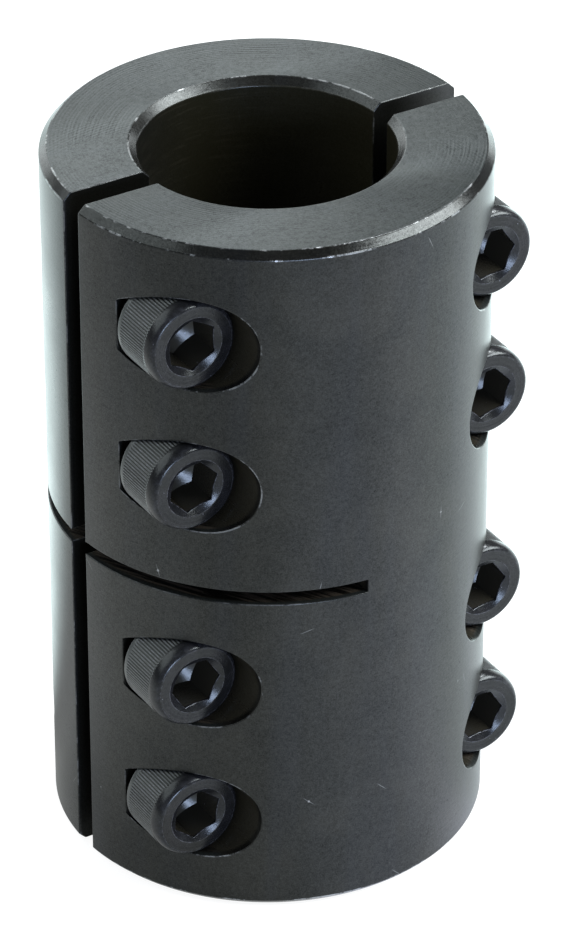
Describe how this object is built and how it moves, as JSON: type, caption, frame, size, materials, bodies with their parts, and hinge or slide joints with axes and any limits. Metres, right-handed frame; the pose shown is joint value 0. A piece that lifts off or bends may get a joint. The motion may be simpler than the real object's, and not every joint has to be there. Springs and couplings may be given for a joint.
{
  "type": "rigid sleeve coupling",
  "caption": "Two-piece rigid sleeve coupling that clamps two butting shafts end to end in one split bore, drawn together by rows of socket head cap screws.",
  "frame": {"origin": "on the bore axis, at mid-length of the sleeve", "axes": "+Z along the bore axis, +Y from the screw-head side to the tapped side, +X to the side without the cross cut"},
  "size_m": [0.0444, 0.0444, 0.0762],
  "materials": {
    "sleeve_black_oxide": "turned steel with a satin black-oxide finish",
    "screw_black_oxide": "black-oxide alloy steel, knurled head sides"
  },
  "bodies": {
    "rear_half": {"rear_half": "sleeve_black_oxide"},
    "front_half": {"front_half": "sleeve_black_oxide"},
    "clamp_screw_left_1": {"clamp_screw_left_1": "screw_black_oxide"},
    "clamp_screw_left_2": {"clamp_screw_left_2": "screw_black_oxide"},
    "clamp_screw_left_3": {"clamp_screw_left_3": "screw_black_oxide"},
    "clamp_screw_left_4": {"clamp_screw_left_4": "screw_black_oxide"},
    "clamp_screw_right_1": {"clamp_screw_right_1": "screw_black_oxide"},
    "clamp_screw_right_2": {"clamp_screw_right_2": "screw_black_oxide"},
    "clamp_screw_right_3": {"clamp_screw_right_3": "screw_black_oxide"},
    "clamp_screw_right_4": {"clamp_screw_right_4": "screw_black_oxide"}
  },
  "joints": [
    {"name": "clamp_open", "type": "slide", "parent": "rear_half", "child": "front_half", "axis": [0, -1, 0], "range_m": [-0.0025, 0.0065]},
    {"name": "screw_left_1_turn", "type": "hinge", "parent": "front_half", "child": "clamp_screw_left_1", "pos_m": [-0.0169, -0.0146, 0.0274], "axis": [0, -1, 0], "range_deg": [-996, 2585]},
    {"name": "screw_left_2_turn", "type": "hinge", "parent": "front_half", "child": "clamp_screw_left_2", "pos_m": [-0.0169, -0.0146, 0.0115], "axis": [0, -1, 0], "range_deg": [-996, 2585]},
    {"name": "screw_left_3_turn", "type": "hinge", "parent": "front_half", "child": "clamp_screw_left_3", "pos_m": [-0.0169, -0.0146, -0.0115], "axis": [0, -1, 0], "range_deg": [-996, 2585]},
    {"name": "screw_left_4_turn", "type": "hinge", "parent": "front_half", "child": "clamp_screw_left_4", "pos_m": [-0.0169, -0.0146, -0.0274], "axis": [0, -1, 0], "range_deg": [-996, 2585]},
    {"name": "screw_right_1_turn", "type": "hinge", "parent": "front_half", "child": "clamp_screw_right_1", "pos_m": [0.0169, -0.0146, 0.0274], "axis": [0, -1, 0], "range_deg": [-996, 2585]},
    {"name": "screw_right_2_turn", "type": "hinge", "parent": "front_half", "child": "clamp_screw_right_2", "pos_m": [0.0169, -0.0146, 0.0115], "axis": [0, -1, 0], "range_deg": [-996, 2585]},
    {"name": "screw_right_3_turn", "type": "hinge", "parent": "front_half", "child": "clamp_screw_right_3", "pos_m": [0.0169, -0.0146, -0.0115], "axis": [0, -1, 0], "range_deg": [-996, 2585]},
    {"name": "screw_right_4_turn", "type": "hinge", "parent": "front_half", "child": "clamp_screw_right_4", "pos_m": [0.0169, -0.0146, -0.0274], "axis": [0, -1, 0], "range_deg": [-996, 2585]}
  ],
  "couplings": [
    {"joint": "screw_left_1_turn", "follows": "clamp_open", "rad_per_m": 6926.3},
    {"joint": "screw_left_2_turn", "follows": "clamp_open", "rad_per_m": 6926.3},
    {"joint": "screw_left_3_turn", "follows": "clamp_open", "rad_per_m": 6926.3},
    {"joint": "screw_left_4_turn", "follows": "clamp_open", "rad_per_m": 6926.3},
    {"joint": "screw_right_1_turn", "follows": "clamp_open", "rad_per_m": 6926.3},
    {"joint": "screw_right_2_turn", "follows": "clamp_open", "rad_per_m": 6926.3},
    {"joint": "screw_right_3_turn", "follows": "clamp_open", "rad_per_m": 6926.3},
    {"joint": "screw_right_4_turn", "follows": "clamp_open", "rad_per_m": 6926.3}
  ]
}
